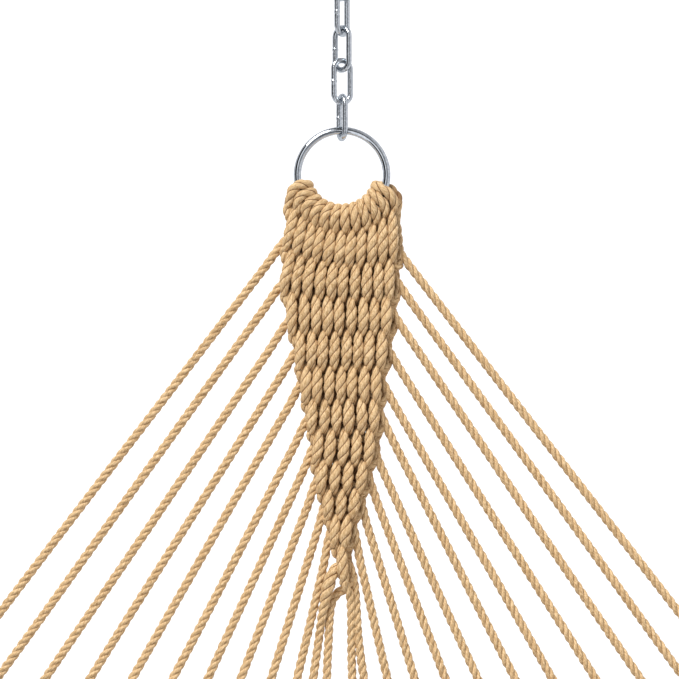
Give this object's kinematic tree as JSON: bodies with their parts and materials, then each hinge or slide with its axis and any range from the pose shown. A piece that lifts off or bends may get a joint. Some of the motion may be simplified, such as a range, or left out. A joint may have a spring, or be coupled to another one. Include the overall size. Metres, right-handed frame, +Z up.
{
  "type": "spreader-bar rope hammock",
  "caption": "Rope hammock hung between two hooks: chain, ring, woven tapering clew and fanned strands at each end, drilled hardwood bars and a rope net bed between.",
  "frame": {"origin": "where the head hook bears inside the first chain link", "axes": "+X level along the hammock to the foot hook, +Y to the left of someone looking along +X, +Z up"},
  "size_m": [4.1467, 1.397, 0.4936],
  "materials": {
    "zinc_steel": "bright zinc plate, slightly blue, worn soft at the welds",
    "rope": "tan three-strand laid rope of spun fibre, matt",
    "oak": "oiled oak, satin"
  },
  "bodies": {
    "supports": {"head_link_1": "zinc_steel", "foot_link_1": "zinc_steel"},
    "hammock": {"rope_bed": "rope", "side_rope_left": "rope", "side_rope_right": "rope", "head_clew": "rope", "head_spreader_bar": "oak", "head_strand_loop_01": "rope", "head_strand_loop_02": "rope", "head_strand_loop_03": "rope", "head_strand_loop_04": "rope", "head_strand_loop_05": "rope", "head_strand_loop_06": "rope", "head_strand_loop_07": "rope", "head_strand_loop_08": "rope", "head_strand_loop_09": "rope", "head_strand_loop_10": "rope", "head_strand_loop_11": "rope", "head_strand_loop_12": "rope", "foot_clew": "rope", "foot_spreader_bar": "oak", "foot_strand_loop_01": "rope", "foot_strand_loop_02": "rope", "foot_strand_loop_03": "rope", "foot_strand_loop_04": "rope", "foot_strand_loop_05": "rope", "foot_strand_loop_06": "rope", "foot_strand_loop_07": "rope", "foot_strand_loop_08": "rope", "foot_strand_loop_09": "rope", "foot_strand_loop_10": "rope", "foot_strand_loop_11": "rope", "foot_strand_loop_12": "rope"},
    "head_link_2_turning": {"head_link_2": "zinc_steel"},
    "head_link_3_turning": {"head_link_3": "zinc_steel"},
    "head_link_4_turning": {"head_link_4": "zinc_steel"},
    "head_link_5_turning": {"head_link_5": "zinc_steel"},
    "head_link_6_turning": {"head_link_6": "zinc_steel"},
    "head_link_7_turning": {"head_link_7": "zinc_steel"},
    "head_ring_turning": {"head_ring": "zinc_steel"},
    "foot_link_2_turning": {"foot_link_2": "zinc_steel"},
    "foot_link_3_turning": {"foot_link_3": "zinc_steel"},
    "foot_link_4_turning": {"foot_link_4": "zinc_steel"},
    "foot_link_5_turning": {"foot_link_5": "zinc_steel"},
    "foot_link_6_turning": {"foot_link_6": "zinc_steel"},
    "foot_link_7_turning": {"foot_link_7": "zinc_steel"},
    "foot_ring_turning": {"foot_ring": "zinc_steel"}
  },
  "joints": [
    {"name": "swing", "type": "hinge", "parent": "supports", "child": "hammock", "pos_m": [0.02637, 0, -0.01012], "axis": [1, 0, 0], "range_deg": [-35, 35]},
    {"name": "head_link_2_twist", "type": "hinge", "parent": "hammock", "child": "head_link_2_turning", "pos_m": [0.03944, 0, -0.01514], "axis": [0.9336, 0, -0.3584], "range_deg": [-30, 30]},
    {"name": "head_link_3_twist", "type": "hinge", "parent": "hammock", "child": "head_link_3_turning", "pos_m": [0.06549, 0, -0.02514], "axis": [0.9336, 0, -0.3584], "range_deg": [-25, 25]},
    {"name": "head_link_4_twist", "type": "hinge", "parent": "hammock", "child": "head_link_4_turning", "pos_m": [0.09163, 0, -0.03517], "axis": [0.9336, 0, -0.3584], "range_deg": [-20, 20]},
    {"name": "head_link_5_twist", "type": "hinge", "parent": "hammock", "child": "head_link_5_turning", "pos_m": [0.11791, 0, -0.04526], "axis": [0.9336, 0, -0.3584], "range_deg": [-16, 16]},
    {"name": "head_link_6_twist", "type": "hinge", "parent": "hammock", "child": "head_link_6_turning", "pos_m": [0.14181, 0, -0.05444], "axis": [0.9336, 0, -0.3584], "range_deg": [-11, 11]},
    {"name": "head_link_7_twist", "type": "hinge", "parent": "hammock", "child": "head_link_7_turning", "pos_m": [0.16809, 0, -0.06452], "axis": [0.9336, 0, -0.3584], "range_deg": [-6, 6]},
    {"name": "head_ring_spin", "type": "hinge", "parent": "hammock", "child": "head_ring_turning", "pos_m": [0.21038, 0, -0.08076], "axis": [0.3584, 0, 0.9336], "continuous": true},
    {"name": "foot_link_2_twist", "type": "hinge", "parent": "hammock", "child": "foot_link_2_turning", "pos_m": [4.09789, 0, -0.01514], "axis": [-0.9336, 0, -0.3584], "range_deg": [-30, 30]},
    {"name": "foot_link_3_twist", "type": "hinge", "parent": "hammock", "child": "foot_link_3_turning", "pos_m": [4.07184, 0, -0.02514], "axis": [-0.9336, 0, -0.3584], "range_deg": [-25, 25]},
    {"name": "foot_link_4_twist", "type": "hinge", "parent": "hammock", "child": "foot_link_4_turning", "pos_m": [4.0457, 0, -0.03517], "axis": [-0.9336, 0, -0.3584], "range_deg": [-20, 20]},
    {"name": "foot_link_5_twist", "type": "hinge", "parent": "hammock", "child": "foot_link_5_turning", "pos_m": [4.01942, 0, -0.04526], "axis": [-0.9336, 0, -0.3584], "range_deg": [-16, 16]},
    {"name": "foot_link_6_twist", "type": "hinge", "parent": "hammock", "child": "foot_link_6_turning", "pos_m": [3.99552, 0, -0.05444], "axis": [-0.9336, 0, -0.3584], "range_deg": [-11, 11]},
    {"name": "foot_link_7_twist", "type": "hinge", "parent": "hammock", "child": "foot_link_7_turning", "pos_m": [3.96924, 0, -0.06452], "axis": [-0.9336, 0, -0.3584], "range_deg": [-6, 6]},
    {"name": "foot_ring_spin", "type": "hinge", "parent": "hammock", "child": "foot_ring_turning", "pos_m": [3.92695, 0, -0.08076], "axis": [-0.3584, 0, 0.9336], "continuous": true}
  ],
  "couplings": [
    {"joint": "head_link_2_twist", "follows": "swing", "ratio": -0.80021},
    {"joint": "head_link_3_twist", "follows": "swing", "ratio": -0.66684},
    {"joint": "head_link_4_twist", "follows": "swing", "ratio": -0.53348},
    {"joint": "head_link_5_twist", "follows": "swing", "ratio": -0.40011},
    {"joint": "head_link_6_twist", "follows": "swing", "ratio": -0.26674},
    {"joint": "head_link_7_twist", "follows": "swing", "ratio": -0.13337},
    {"joint": "foot_link_2_twist", "follows": "swing", "ratio": 0.80021},
    {"joint": "foot_link_3_twist", "follows": "swing", "ratio": 0.66684},
    {"joint": "foot_link_4_twist", "follows": "swing", "ratio": 0.53348},
    {"joint": "foot_link_5_twist", "follows": "swing", "ratio": 0.40011},
    {"joint": "foot_link_6_twist", "follows": "swing", "ratio": 0.26674},
    {"joint": "foot_link_7_twist", "follows": "swing", "ratio": 0.13337}
  ]
}
